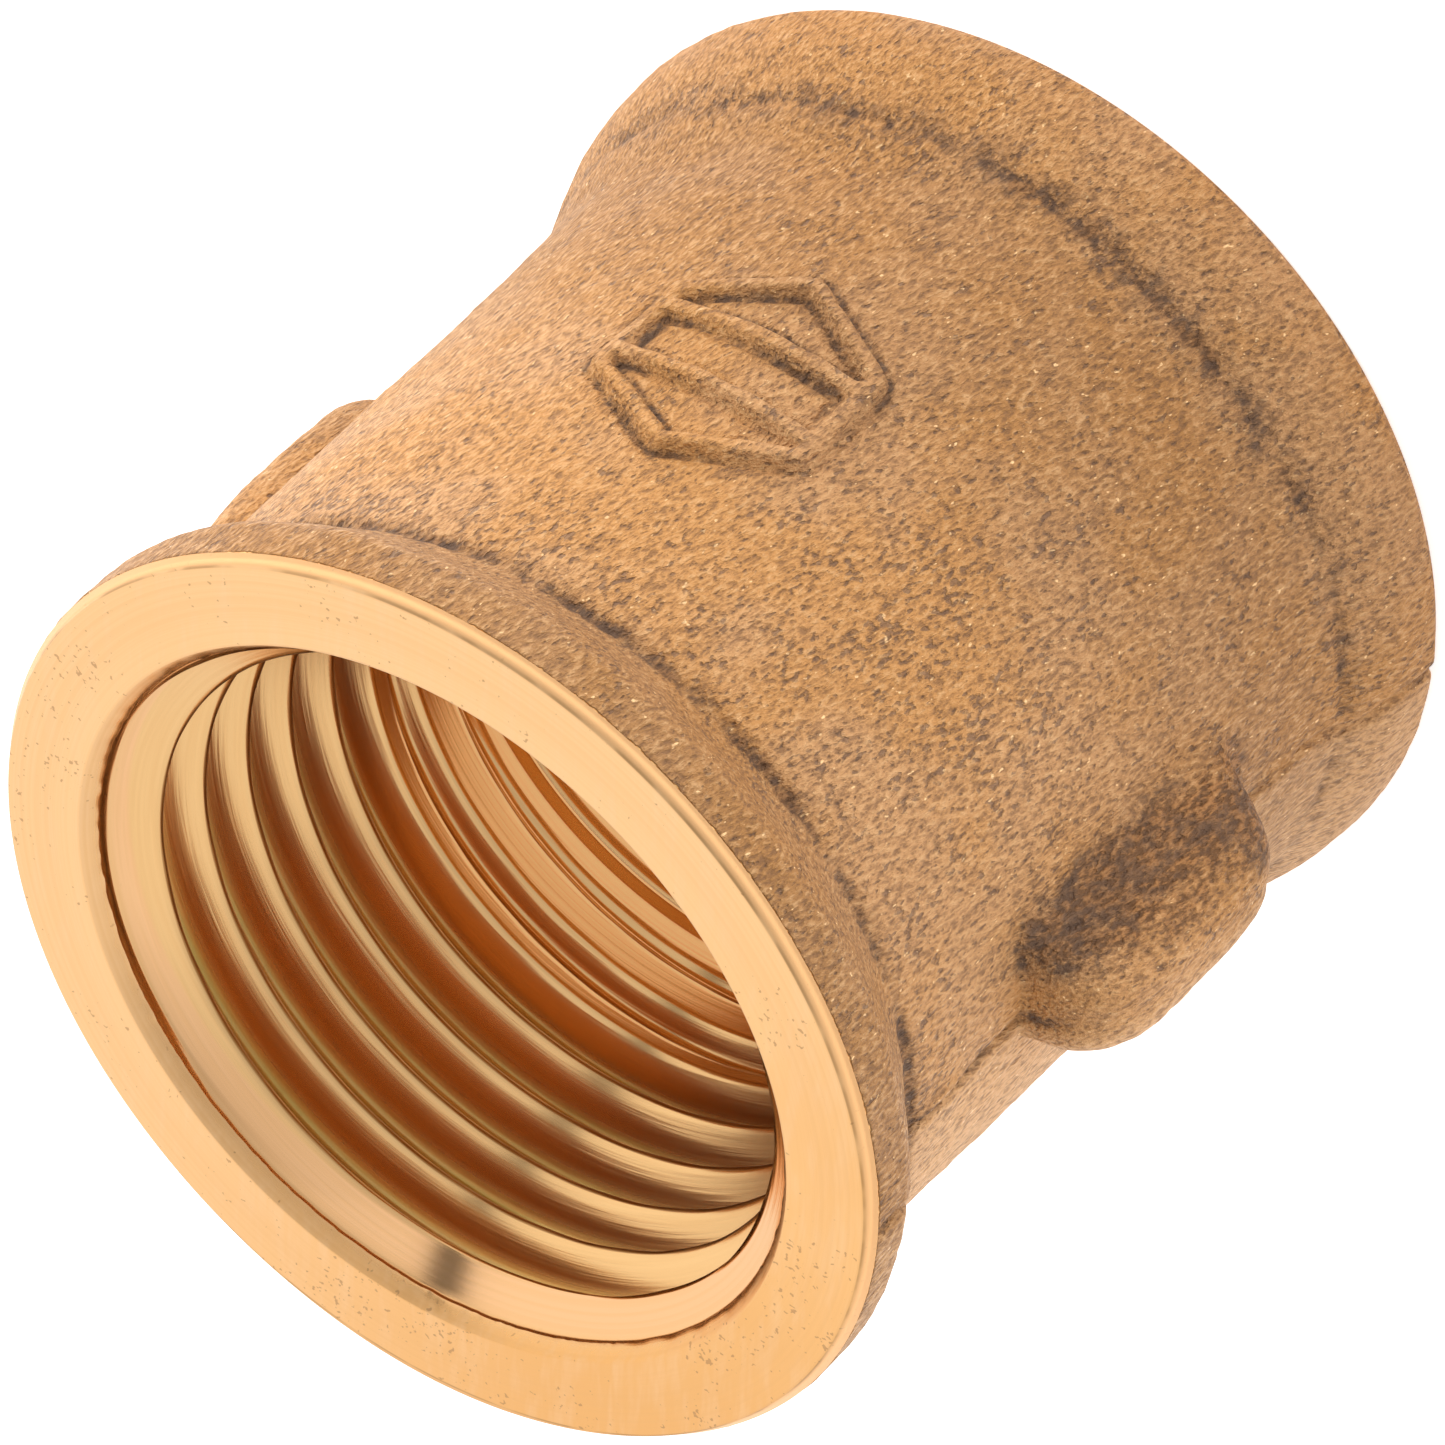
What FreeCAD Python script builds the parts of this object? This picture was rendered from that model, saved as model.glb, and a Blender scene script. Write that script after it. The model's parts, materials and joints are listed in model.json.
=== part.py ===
import FreeCAD, Part
import math
import os

# Female pipe coupling, one sand casting in gunmetal, tapped from both ends.
# The casting is written as named regions that meet face to face: the threaded
# body, a collar bead round each end, two lugs on the mould's parting plane and
# a raised mark. Nothing in it moves.
# Frame: millimetres, +Z up the bore, origin at the centre of the lower end
# face. The lugs stand on +X and -X, and the mark faces -Y.

V = FreeCAD.Vector
Z_AXIS = V(0, 0, 1)

# --- driving dimensions -------------------------------------------------
LENGTH = 25.7            # end face to end face

# pipe thread G 1/2, parallel, right hand
PITCH = 1.814
MINOR_R = 9.3155         # crest of the internal thread
MAJOR_R = 10.4775        # root of the internal thread
FLANK_DEG = 27.5         # half of the 55 degree thread angle
ROOT_FLAT = 0.24         # width of the groove at its root
UPPER_THREAD = 14.0      # depth reached by the upper thread
UPPER_START_DEG = 137.0  # where the upper thread starts round the mouth
LOWER_THREAD = 10.6      # depth reached by the lower thread
RIDGE_R = 9.10           # ridge left between the two tapped holes

# mouth of each end
MOUTH_R = 10.72          # edge of the bore in the end face
BURR_R = 10.41           # foot of the small edge chamfer
BURR_DEPTH = 0.40
SINK_DEPTH = 1.17        # foot of the countersink, where the thread starts

# outside
SEAT_R = 11.40           # body under the collars
RIM_CHAMFER_R = 0.22     # chamfer round each end face, across
RIM_CHAMFER_Z = 0.36     # the same chamfer, along the bore
UPPER_RIM_R = 13.20
LOWER_RIM_R = 13.52
COLLAR_LAND = 1.90       # length of each collar at its full radius
UPPER_COLLAR = 3.70      # whole length of the upper collar
LOWER_COLLAR = 3.30      # whole length of the lower collar
UPPER_CREASE_R = 11.85   # barrel where it meets the upper collar
LOWER_CREASE_R = 12.35   # barrel where it meets the lower collar
BARREL_MID_R = 12.02     # barrel at half height

# faces of the tapped body are divided at equal angles
SECTORS = 8
SECTOR_START_DEG = 7.0

# lugs
LUG_TOP_R = 14.45
LUG_LENGTH = 9.4
LUG_WIDTH = 3.6
LUG_END_ROUND = 2.1      # rounding of the lug's ends, seen from the side
LUG_EDGE_ROUND = 1.1     # rounding along the top edges

# raised mark: a six-sided outline tied across by two bars
MARK_PROUD = 0.30
MARK_ACROSS = 6.8        # across the corners
MARK_STROKE = 0.50
MARK_BARS = (-1.05, 1.05)


# --- helpers ------------------------------------------------------------
def revolve(wire, degrees=360.0):
    """Turn a closed half section in the XZ plane about the bore."""
    return Part.Face(wire).revolve(V(0, 0, 0), Z_AXIS, degrees)


def line(a, b):
    return Part.LineSegment(V(a[0], 0, a[1]), V(b[0], 0, b[1])).toShape()


def chain(points):
    """Straight edges through (radius, height) points."""
    return [line(a, b) for a, b in zip(points[:-1], points[1:])]


def smooth(points, start, end):
    """A smooth edge through (radius, height) points with set end directions."""
    curve = Part.BSplineCurve()
    curve.interpolate(
        Points=[V(r, 0, z) for r, z in points],
        InitialTangent=V(start[0], 0, start[1]),
        FinalTangent=V(end[0], 0, end[1]),
    )
    return curve.toShape()


def mouth(face_z, inward):
    """Bore edge, chamfer foot and countersink foot of one end."""
    return [
        (MOUTH_R, face_z),
        (BURR_R, face_z + inward * BURR_DEPTH),
        (MINOR_R, face_z + inward * SINK_DEPTH),
    ]


def barrel_edge(proud=0.0):
    """Outer edge of the barrel, from the lower crease up to the upper one."""
    low = LOWER_COLLAR
    high = LENGTH - UPPER_COLLAR
    points = [
        (LOWER_CREASE_R + proud, low),
        (BARREL_MID_R + proud, LENGTH / 2),
        (UPPER_CREASE_R + proud, high),
    ]
    return smooth(points, (-0.05, 1), (-0.01, 1))


# --- the threaded body --------------------------------------------------
def body_section():
    """Half section of the body before the threads are cut."""
    upper_end = LENGTH - UPPER_THREAD
    lower_end = LOWER_THREAD
    bore = mouth(0.0, 1)
    bore += [
        (MINOR_R, lower_end),
        (RIDGE_R, lower_end + 0.12),
        (RIDGE_R, upper_end - 0.12),
        (MINOR_R, upper_end),
    ]
    bore += reversed(mouth(LENGTH, -1))
    top = LENGTH - UPPER_COLLAR
    outside_top = [(MOUTH_R, LENGTH), (SEAT_R, LENGTH), (SEAT_R, top), (UPPER_CREASE_R, top)]
    outside_low = [
        (LOWER_CREASE_R, LOWER_COLLAR),
        (SEAT_R, LOWER_COLLAR),
        (SEAT_R, 0),
        (MOUTH_R, 0),
    ]
    edges = chain(bore) + chain(outside_top) + [barrel_edge()] + chain(outside_low)
    return Part.Wire(Part.__sortEdges__(edges))


def thread_groove(length):
    """One right-hand groove of the thread, rising from z = 0."""
    depth = MAJOR_R - MINOR_R
    inside = 0.30
    root_half = ROOT_FLAT / 2
    foot_half = root_half + (depth + inside) * math.tan(math.radians(FLANK_DEG))
    corners = [
        V(MINOR_R - inside, 0, -foot_half),
        V(MAJOR_R, 0, -root_half),
        V(MAJOR_R, 0, root_half),
        V(MINOR_R - inside, 0, foot_half),
    ]
    profile = Part.makePolygon(corners + [corners[0]])
    helix = Part.Wire(Part.makeHelix(PITCH, length, MINOR_R))
    return helix.makePipeShell([profile], True, True)


def lower_groove():
    """Groove cut from below: it starts outside the mouth and ends at its depth."""
    lead = PITCH
    groove = thread_groove(LOWER_THREAD + lead - 0.45 * PITCH)
    groove.translate(V(0, 0, -lead))
    return groove


def upper_groove():
    """The same groove turned end for end, so it is cut from above."""
    lead = PITCH
    groove = thread_groove(UPPER_THREAD + lead - 0.45 * PITCH)
    groove.translate(V(0, 0, -lead))
    groove.rotate(V(0, 0, 0), V(1, 0, 0), 180)
    groove.translate(V(0, 0, LENGTH))
    groove.rotate(V(0, 0, 0), Z_AXIS, UPPER_START_DEG)
    return groove


def in_sectors(shape):
    """The same solid with its faces divided at equal angles round the bore."""
    step = 360.0 / SECTORS
    sectors = []
    for i in range(SECTORS):
        wedge = Part.makeCylinder(2 * LOWER_RIM_R, LENGTH + 2, V(0, 0, -1), Z_AXIS, step)
        wedge.rotate(V(0, 0, 0), Z_AXIS, i * step + SECTOR_START_DEG)
        sectors.append(shape.common(wedge))
    return sectors[0].multiFuse(sectors[1:])


def body():
    """Tapped body: bore, mouths, both threads and the barrel's outside."""
    shape = revolve(body_section())
    for groove in (lower_groove(), upper_groove()):
        shape = shape.cut(groove)
    return in_sectors(shape)


# --- the collars --------------------------------------------------------
def collar(face_z, inward, rim_r, crease_r, length):
    """A rounded bead round one end, seated on the body."""
    land = face_z + inward * COLLAR_LAND
    crease = face_z + inward * length
    chamfer = face_z + inward * RIM_CHAMFER_Z
    drop = rim_r - crease_r
    shoulder = smooth(
        [
            (rim_r, land),
            (crease_r + 0.45 * drop, face_z + inward * (COLLAR_LAND + 0.5 * (length - COLLAR_LAND))),
            (crease_r, crease),
        ],
        (-0.15, inward),
        (-0.25, inward),
    )
    edges = chain(
        [
            (crease_r, crease),
            (SEAT_R, crease),
            (SEAT_R, face_z),
            (rim_r - RIM_CHAMFER_R, face_z),
            (rim_r, chamfer),
            (rim_r, land),
        ]
    )
    return revolve(Part.Wire(Part.__sortEdges__(edges + [shoulder])))


def upper_collar():
    return collar(LENGTH, -1, UPPER_RIM_R, UPPER_CREASE_R, UPPER_COLLAR)


def lower_collar():
    return collar(0.0, 1, LOWER_RIM_R, LOWER_CREASE_R, LOWER_COLLAR)


# --- lugs and mark ------------------------------------------------------
def barrel_core(proud=0.0):
    """The barrel as a solid of revolution, used to seat what stands on it."""
    low = LOWER_COLLAR
    high = LENGTH - UPPER_COLLAR
    edges = chain(
        [
            (UPPER_CREASE_R + proud, high),
            (0, high),
            (0, low),
            (LOWER_CREASE_R + proud, low),
        ]
    )
    return revolve(Part.Wire(Part.__sortEdges__(edges + [barrel_edge(proud)])))


def lug(side):
    """A rounded rib along the barrel, on the +X (1) or -X (-1) side."""
    foot_r = SEAT_R
    box = Part.makeBox(
        LUG_TOP_R - foot_r,
        LUG_WIDTH,
        LUG_LENGTH,
        V(foot_r, -LUG_WIDTH / 2, (LENGTH - LUG_LENGTH) / 2),
    )
    ends = []
    for edge in box.Edges:
        middle = edge.CenterOfMass
        if abs(middle.x - LUG_TOP_R) < 0.01 and abs(middle.y) < 0.01:
            ends.append(edge)
    rib = box.makeFillet(LUG_END_ROUND, ends)
    tops = []
    for edge in rib.Edges:
        middle = edge.CenterOfMass
        on_side = abs(abs(middle.y) - LUG_WIDTH / 2) < 0.01
        if on_side and middle.x > foot_r + 0.6:
            tops.append(edge)
    rib = rib.makeFillet(LUG_EDGE_ROUND, tops)
    rib = rib.cut(barrel_core())
    if side < 0:
        rib.rotate(V(0, 0, 0), Z_AXIS, 180)
    return rib


def bar(length, height, angle, x, z):
    """An upright block of the mark, laid through the barrel's front."""
    block = Part.makeBox(length, LOWER_RIM_R, height, V(-length / 2, -LOWER_RIM_R, -height / 2))
    block.rotate(V(0, 0, 0), V(0, 1, 0), angle)
    block.translate(V(x, 0, z))
    return block


def casting_mark():
    """Six-sided outline with two bars across it, standing proud of the barrel."""
    corner_r = MARK_ACROSS / 2
    flat_r = corner_r * math.cos(math.radians(30))
    side = corner_r + MARK_STROKE / math.sqrt(3)
    strokes = []
    for i in range(6):
        angle = math.radians(60 * i + 30)
        x = flat_r * math.sin(angle)
        z = flat_r * math.cos(angle)
        strokes.append(bar(side, MARK_STROKE, 60 * i + 30, x, z))
    for z in MARK_BARS:
        half = corner_r - abs(z) / math.sqrt(3)
        strokes.append(bar(2 * half, MARK_STROKE, 0, 0, z))
    drawing = strokes[0].multiFuse(strokes[1:])
    drawing.translate(V(0, 0, LENGTH / 2))
    skin = barrel_core(MARK_PROUD).cut(barrel_core())
    return drawing.common(skin).removeSplitter()


# --- write --------------------------------------------------------------
PIECES = {
    "body": body,
    "upper_collar": upper_collar,
    "lower_collar": lower_collar,
    "lug_left": lambda: lug(-1),
    "lug_right": lambda: lug(1),
    "casting_mark": casting_mark,
}

os.makedirs("parts", exist_ok=True)
for name, make in PIECES.items():
    shape = make()
    solids = shape.Solids
    if len(solids) != 1:
        raise RuntimeError(name + " is " + str(len(solids)) + " solids, not one")
    solid = solids[0]
    if not solid.isValid():
        raise RuntimeError(name + " is not a valid solid")
    solid.exportStep("parts/" + name + ".step")
    print(name, round(solid.Volume, 1), "mm3", solid.BoundBox)
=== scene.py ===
import json
import math

import bpy
import numpy as np
from mathutils import Matrix, Vector

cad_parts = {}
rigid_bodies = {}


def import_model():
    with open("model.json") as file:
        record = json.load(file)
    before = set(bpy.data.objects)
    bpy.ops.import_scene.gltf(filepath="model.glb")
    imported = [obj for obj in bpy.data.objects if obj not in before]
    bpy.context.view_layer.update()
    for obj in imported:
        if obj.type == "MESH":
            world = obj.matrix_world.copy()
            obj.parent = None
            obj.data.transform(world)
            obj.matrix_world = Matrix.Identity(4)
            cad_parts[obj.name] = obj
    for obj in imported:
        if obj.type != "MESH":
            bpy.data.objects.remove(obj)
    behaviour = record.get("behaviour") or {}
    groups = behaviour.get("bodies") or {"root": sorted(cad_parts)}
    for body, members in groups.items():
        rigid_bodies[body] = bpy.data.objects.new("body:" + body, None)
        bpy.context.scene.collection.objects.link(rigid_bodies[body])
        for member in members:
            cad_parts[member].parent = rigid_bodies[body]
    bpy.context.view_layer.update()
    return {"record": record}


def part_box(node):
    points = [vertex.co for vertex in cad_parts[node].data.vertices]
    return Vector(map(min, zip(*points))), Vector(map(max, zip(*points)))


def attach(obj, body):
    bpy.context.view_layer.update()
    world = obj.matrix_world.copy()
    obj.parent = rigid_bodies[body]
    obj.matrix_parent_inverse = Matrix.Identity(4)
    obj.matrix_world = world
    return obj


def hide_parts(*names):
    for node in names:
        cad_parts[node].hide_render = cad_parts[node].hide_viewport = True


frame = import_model()

# A cast gunmetal pipe coupling, tapped from both ends. Metres; +Z runs up the
# bore, the lugs stand on +X and -X and the raised mark faces -Y.

MM = 0.001
RIGHT_ANGLE = math.pi / 2


# ------------------------------------------------------------------ sizes
def node_box(name):
    low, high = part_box(name)
    return Vector(low), Vector(high)


body_low, body_high = node_box("body")
upper_low, upper_high = node_box("upper_collar")
lower_low, lower_high = node_box("lower_collar")
lug_low, lug_high = node_box("lug_right")
mark_low, mark_high = node_box("casting_mark")
mounts = {m["name"]: m for m in frame["record"]["mounts"]}

LENGTH = body_high.z - body_low.z
MIDDLE = LENGTH / 2
UPPER_RIM_R = upper_high.x
LOWER_RIM_R = lower_high.x
UPPER_COLLAR = upper_high.z - upper_low.z
LOWER_COLLAR = lower_high.z - lower_low.z
LOWER_CREASE_R = body_high.x
UPPER_CREASE_R = LOWER_CREASE_R - 0.50 * MM
BARREL_MID_R = LOWER_CREASE_R - 0.33 * MM
COLLAR_LAND = 1.90 * MM
SHOULDER_R = 13.22 * MM  # a point on the lower collar's sloping shoulder
SHOULDER_Z = 1.94 * MM
SHOULDER_SLOPE = 0.373
CAST_EDGE = 0.08 * MM    # the lower rim keeps its cast edge

LUG_TOP = lug_high.x
LUG_HALF_LENGTH = (lug_high.z - lug_low.z) / 2
LUG_HALF_WIDTH = (lug_high.y - lug_low.y) / 2
LUG_FOOT = 10.9 * MM     # a lug's sides start inside the barrel's wall
LUG_SHIFT = 0.55 * MM    # the +X lug sits higher, and the -X one stops short
LUG_FILLET = 0.80 * MM
ACROSS_R = 13.0 * MM     # distances across a lug are measured at this radius
MARK_STROKE = 0.50 * MM
MARK_HEIGHT = 0.30 * MM
MARK_R = 12.0 * MM       # the mark is laid out at this radius
MARK_CORNER_R = (mark_high.z - mark_low.z) / 2 - MARK_STROKE / math.sqrt(3)

CREST_R = mounts["upper_thread"]["dims"]["r_mm"] * MM
ROOT_R = CREST_R + 1.162 * MM
PITCH = 1.814 * MM
UPPER_THREAD = 14.0 * MM
LOWER_THREAD = 10.6 * MM
TAP_LEAD = 4.9 * MM      # the last turns of the thread grow shallower
FULL_THREAD = 9.5 * MM   # above this depth its lands are full and painted dark as shade
RIDGE_R = 9.10 * MM
MEETING_DEPTH = 14.3 * MM

MOUTH_R = 10.72 * MM
BURR_R = 10.41 * MM
BURR_DEPTH = 0.40 * MM
LIP_R = BURR_R - 0.04 * MM   # the countersink starts here, under the burr
LIP_DEPTH = BURR_DEPTH + 0.16 * MM
SINK_DEPTH = 1.17 * MM
CHAMFER_R = 0.22 * MM
CHAMFER_Z = 0.36 * MM
BEVEL_START = UPPER_RIM_R - CHAMFER_R
SKIN_GAP = 0.012 * MM    # the skin stops this far inside the chamfer's cone

GRAIN_RUN = (0.18, -0.10, 0.978)   # the way the blasted grain lies
GRAIN = 0.125 * MM       # the size of its single marks


# ------------------------------------------------------------ small maths
def ease(value, start, stop):
    """0 before start, 1 after stop, smooth between."""
    t = np.clip((value - start) / (stop - start), 0.0, 1.0)
    return t * t * (3.0 - 2.0 * t)


def bell(value, centre, width):
    return np.exp(-(((value - centre) / width) ** 2))


def soft_max(a, b, blend):
    """The larger of two heights, with a fillet of about blend where they meet."""
    h = np.clip(0.5 + 0.5 * (a - b) / blend, 0.0, 1.0)
    return b * (1 - h) + a * h + blend * h * (1 - h)


def turned_away(angle, centre):
    """The angle between two directions round the bore, 0 to half a turn."""
    return np.abs((angle - centre + math.pi) % (2 * math.pi) - math.pi)


def beside(angle, degrees, width):
    """1 at a direction round the bore, falling off on both sides of it."""
    return bell(np.sin((angle - math.radians(degrees)) / 2), 0, width)


def ring_noise(angle, height, waves, seed):
    """Smooth noise round the bore, about -1 to 1: a sum of waves in angle and height."""
    local = np.random.default_rng(seed)
    total = np.zeros(np.broadcast(angle, height).shape)
    for most_turns, most_rise, strength in waves:
        for _ in range(10):
            turns = local.integers(1, most_turns + 1)
            rise = local.uniform(-most_rise, most_rise) / MM
            phase = local.uniform(0, 2 * math.pi)
            total += strength / 3.2 * np.cos(turns * angle + rise * height + phase)
    return total


def to_segment(u, v, a, b):
    """Distance from (u, v) to the straight stroke from a to b."""
    du, dv = b[0] - a[0], b[1] - a[1]
    along = np.clip(((u - a[0]) * du + (v - a[1]) * dv) / (du * du + dv * dv), 0, 1)
    return np.hypot(u - a[0] - along * du, v - a[1] - along * dv)


# ------------------------------------------------------------ mesh making
def crowded_angles(columns):
    """Column angles, closer together at the lugs and at the mark."""
    fine = np.linspace(0, 2 * math.pi, 4001)
    density = np.ones_like(fine)
    for centre, width, gain in ((0, 0.22, 1.1), (math.pi, 0.22, 1.1), (1.5 * math.pi, 0.34, 0.9)):
        density += gain * bell(turned_away(fine, centre), 0, width)
    total = np.concatenate([[0], np.cumsum((density[1:] + density[:-1]) / 2)])
    wanted = np.arange(columns) / columns * total[-1]
    return np.interp(wanted, total, fine)


SKIN_ANGLES = crowded_angles(464)
BORE_COLUMNS = 420
BORE_ANGLES = np.arange(BORE_COLUMNS) / BORE_COLUMNS * 2 * math.pi


def turned(name, angle, radius, height, extra):
    """A closed ring-shaped mesh from arrays of rows by columns: every column
    is one closed section through the wall."""
    rows, columns = radius.shape
    verts = np.stack(
        [radius * np.cos(angle), radius * np.sin(angle), np.broadcast_to(height, radius.shape)],
        axis=-1,
    ).reshape(-1, 3)
    index = np.arange(rows * columns).reshape(rows, columns)
    right = np.roll(index, -1, axis=1)
    up = np.roll(index, -1, axis=0)
    corner = np.roll(right, -1, axis=0)
    quads = np.stack([index, right, corner, up], axis=-1).reshape(-1, 4)
    mesh = bpy.data.meshes.new(name)
    mesh.from_pydata(verts.tolist(), [], quads.tolist())
    mesh.polygons.foreach_set("use_smooth", np.ones(len(quads), bool))
    for label, values in extra.items():
        layer = mesh.attributes.new(label, "FLOAT", "POINT")
        layer.data.foreach_set("value", np.ascontiguousarray(values, np.float32).ravel())
    mesh.update()
    return placed(name, mesh)


def placed(name, data):
    """An object of that data, in the scene."""
    made = bpy.data.objects.new(name, data)
    bpy.context.scene.collection.objects.link(made)
    return made


# ----------------------------------------------------------- node writing
class TreeWriter:
    """Short calls for writing a node tree."""

    def __init__(self, tree):
        self.tree = tree

    def feed(self, socket, value):
        """Links an output to the socket, or sets the socket's value."""
        if isinstance(value, bpy.types.NodeSocket):
            self.tree.links.new(value, socket)
        else:
            socket.default_value = value

    def node(self, kind, **settings):
        made = self.tree.nodes.new(kind)
        for label, value in settings.items():
            setattr(made, label, value)
        return made

    def maths(self, operation, *values):
        made = self.node("ShaderNodeMath", operation=operation)
        for socket, value in zip(made.inputs, values):
            self.feed(socket, value)
        return made.outputs[0]

    def plus(self, a, b):
        return self.maths("ADD", a, b)

    def less(self, a, b):
        return self.maths("SUBTRACT", a, b)

    def larger(self, a, b):
        return self.maths("MAXIMUM", a, b)

    def times(self, *values):
        total = values[0]
        for value in values[1:]:
            total = self.maths("MULTIPLY", total, value)
        return total

    def split(self, vector):
        made = self.node("ShaderNodeSeparateXYZ")
        self.feed(made.inputs[0], vector)
        return made.outputs

    def joined(self, *values):
        made = self.node("ShaderNodeCombineXYZ")
        for socket, value in zip(made.inputs, values):
            self.feed(socket, value)
        return made.outputs[0]

    def along(self, vector, direction):
        """How far the vector reaches along a direction."""
        made = self.node("ShaderNodeVectorMath", operation="DOT_PRODUCT")
        self.feed(made.inputs[0], vector)
        made.inputs[1].default_value = Vector(direction).normalized()
        return made.outputs["Value"]

    def scaled(self, vector, share):
        made = self.node("ShaderNodeVectorMath", operation="SCALE")
        self.feed(made.inputs[0], vector)
        self.feed(made.inputs["Scale"], share)
        return made.outputs[0]

    def from_axis(self, x, y):
        """Distance from the bore's axis."""
        return self.maths("SQRT", self.plus(self.times(x, x), self.times(y, y)))

    def window(self, value, low, high, out_low=0.0, out_high=1.0, curve="SMOOTHSTEP"):
        """A number that goes from out_low to out_high as value goes from low to high."""
        made = self.node("ShaderNodeMapRange", interpolation_type=curve)
        self.feed(made.inputs["Value"], value)
        made.inputs["From Min"].default_value = low
        made.inputs["From Max"].default_value = high
        made.inputs["To Min"].default_value = out_low
        made.inputs["To Max"].default_value = out_high
        return made.outputs[0]


# ------------------------------------------------------- geometry recipes
class Recipe(TreeWriter):
    """A Geometry Nodes tree being written, with its sizes as named inputs."""

    def __init__(self, name, sizes):
        super().__init__(bpy.data.node_groups.new(name, "GeometryNodeTree"))
        face = self.tree.interface
        face.new_socket("Geometry", in_out="INPUT", socket_type="NodeSocketGeometry")
        face.new_socket("Geometry", in_out="OUTPUT", socket_type="NodeSocketGeometry")
        self.ids = {}
        for label, value in sizes.items():
            socket = face.new_socket(label, in_out="INPUT", socket_type="NodeSocketFloat")
            socket.default_value = value
            self.ids[label] = socket.identifier
        self.entry = self.node("NodeGroupInput")
        self.exit = self.node("NodeGroupOutput")

    def size(self, label):
        return self.entry.outputs[label]

    def attribute(self, label):
        made = self.node("GeometryNodeInputNamedAttribute", data_type="FLOAT")
        made.inputs["Name"].default_value = label
        return made.outputs["Attribute"]

    def finish(self, way, vector, material):
        """Moves the points ("Position" or "Offset"), realizes the instances,
        sets the material and leaves the tree."""
        shift = self.node("GeometryNodeSetPosition")
        self.feed(shift.inputs["Geometry"], self.size("Geometry"))
        self.feed(shift.inputs[way], vector)
        real = self.node("GeometryNodeRealizeInstances")
        self.feed(real.inputs["Geometry"], shift.outputs[0])
        paint = self.node("GeometryNodeSetMaterial")
        paint.inputs["Material"].default_value = material
        self.feed(paint.inputs["Geometry"], real.outputs[0])
        self.feed(self.exit.inputs["Geometry"], paint.outputs[0])


def apply_recipe(piece, recipe, sizes):
    """Runs the recipe on the piece and keeps the result as its plain mesh."""
    modifier = piece.modifiers.new(recipe.tree.name, "NODES")
    modifier.node_group = recipe.tree
    for label, value in sizes.items():
        modifier[recipe.ids[label]] = value
    bpy.context.view_layer.update()
    graph = bpy.context.evaluated_depsgraph_get()
    result = bpy.data.meshes.new_from_object(piece.evaluated_get(graph), depsgraph=graph)
    piece.modifiers.remove(modifier)
    old = piece.data
    piece.data = result
    result.name = old.name
    bpy.data.meshes.remove(old)


def thread_recipe(material):
    """Cuts a right-hand V thread with a rounded root. The attribute "lead" is
    how far the tap's cutting edge stands back from its full depth."""
    r = Recipe(
        "cut_thread",
        {
            "Pitch": PITCH,
            "Crest radius": CREST_R,
            "Root radius": ROOT_R,
            "Flank slope": 1.66,
            "Root rounding": 0.17 * MM,
            "Crest rounding": 0.06 * MM,
            "Start turn": 0.0,
        },
    )
    x, y, z = r.split(r.node("GeometryNodeInputPosition").outputs[0])
    radius = r.from_axis(x, y)
    turn = r.maths("DIVIDE", r.maths("ARCTAN2", y, x), 2 * math.pi)
    climbed = r.maths("DIVIDE", z, r.size("Pitch"))
    phase = r.plus(r.less(climbed, turn), r.size("Start turn"))
    # distance along the bore from the middle of the nearest groove
    nearest = r.maths("ABSOLUTE", r.less(r.maths("FRACT", r.plus(phase, 0.5)), 0.5))
    off = r.times(nearest, r.size("Pitch"))
    rounding = r.size("Root rounding")
    bowed = r.maths("SQRT", r.plus(r.times(off, off), r.times(rounding, rounding)))
    drop = r.times(r.less(bowed, rounding), r.size("Flank slope"))
    vee = r.less(r.size("Root radius"), r.plus(drop, r.attribute("lead")))
    cut = r.maths("SMOOTH_MAX", vee, r.size("Crest radius"), r.size("Crest rounding"))
    wanted = r.times(cut, r.maths("GREATER_THAN", r.attribute("threaded"), 0.5))
    wider = r.maths("DIVIDE", r.larger(radius, wanted), radius)
    r.finish("Position", r.joined(r.times(x, wider), r.times(y, wider), z), material)
    return r


def sand_recipe(material):
    """Raises the sand grain of the mould on the rows marked as cast."""
    r = Recipe(
        "sand_grain",
        {
            "Grain size": 0.42 * MM,
            "Grain height": 0.075 * MM,
            "Lump size": 1.3 * MM,
            "Lump height": 0.10 * MM,
            "Seed": 3.0,
        },
    )
    place = r.node("GeometryNodeInputPosition").outputs[0]
    raised = []
    for kind, shift in (("Grain", 0.0), ("Lump", 7.0)):
        noise = r.node("ShaderNodeTexNoise", noise_dimensions="4D")
        r.feed(noise.inputs["Vector"], place)
        r.feed(noise.inputs["W"], r.plus(r.size("Seed"), shift))
        r.feed(noise.inputs["Scale"], r.maths("DIVIDE", 1.0, r.size(kind + " size")))
        noise.inputs["Detail"].default_value = 1.5
        raised.append(r.times(r.less(noise.outputs[0], 0.5), r.size(kind + " height")))
    height = r.times(r.plus(*raised), r.attribute("cast"))
    normal = r.node("GeometryNodeInputNormal").outputs[0]
    r.finish("Offset", r.scaled(normal, height), material)
    return r


# -------------------------------------------------------------- materials
TAN = (0.60, 0.320, 0.135)
GOLDEN = (0.60, 0.295, 0.095)
# painted light: the lighter, pinker tone of the +Y half, lit by the floor
PINK_FLOOR_LIGHT = (0.73, 0.425, 0.205)
# a darker brown: painted shade towards the lower end, and the upper collar's tone
DULL_AND_SHADE_BROWN = (0.27, 0.12, 0.030)
GRAIN_DARK = (0.165, 0.083, 0.045)
GRAIN_LIGHT = (0.80, 0.49, 0.24)
PIT = (0.125, 0.075, 0.060)
# dark colour of the stains, and of the painted shade round the mark
STAIN_AND_SHADE = (0.105, 0.060, 0.040)
STAIN_RUST = (0.17, 0.075, 0.025)
RUST_LIGHT = (0.42, 0.19, 0.06)
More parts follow.
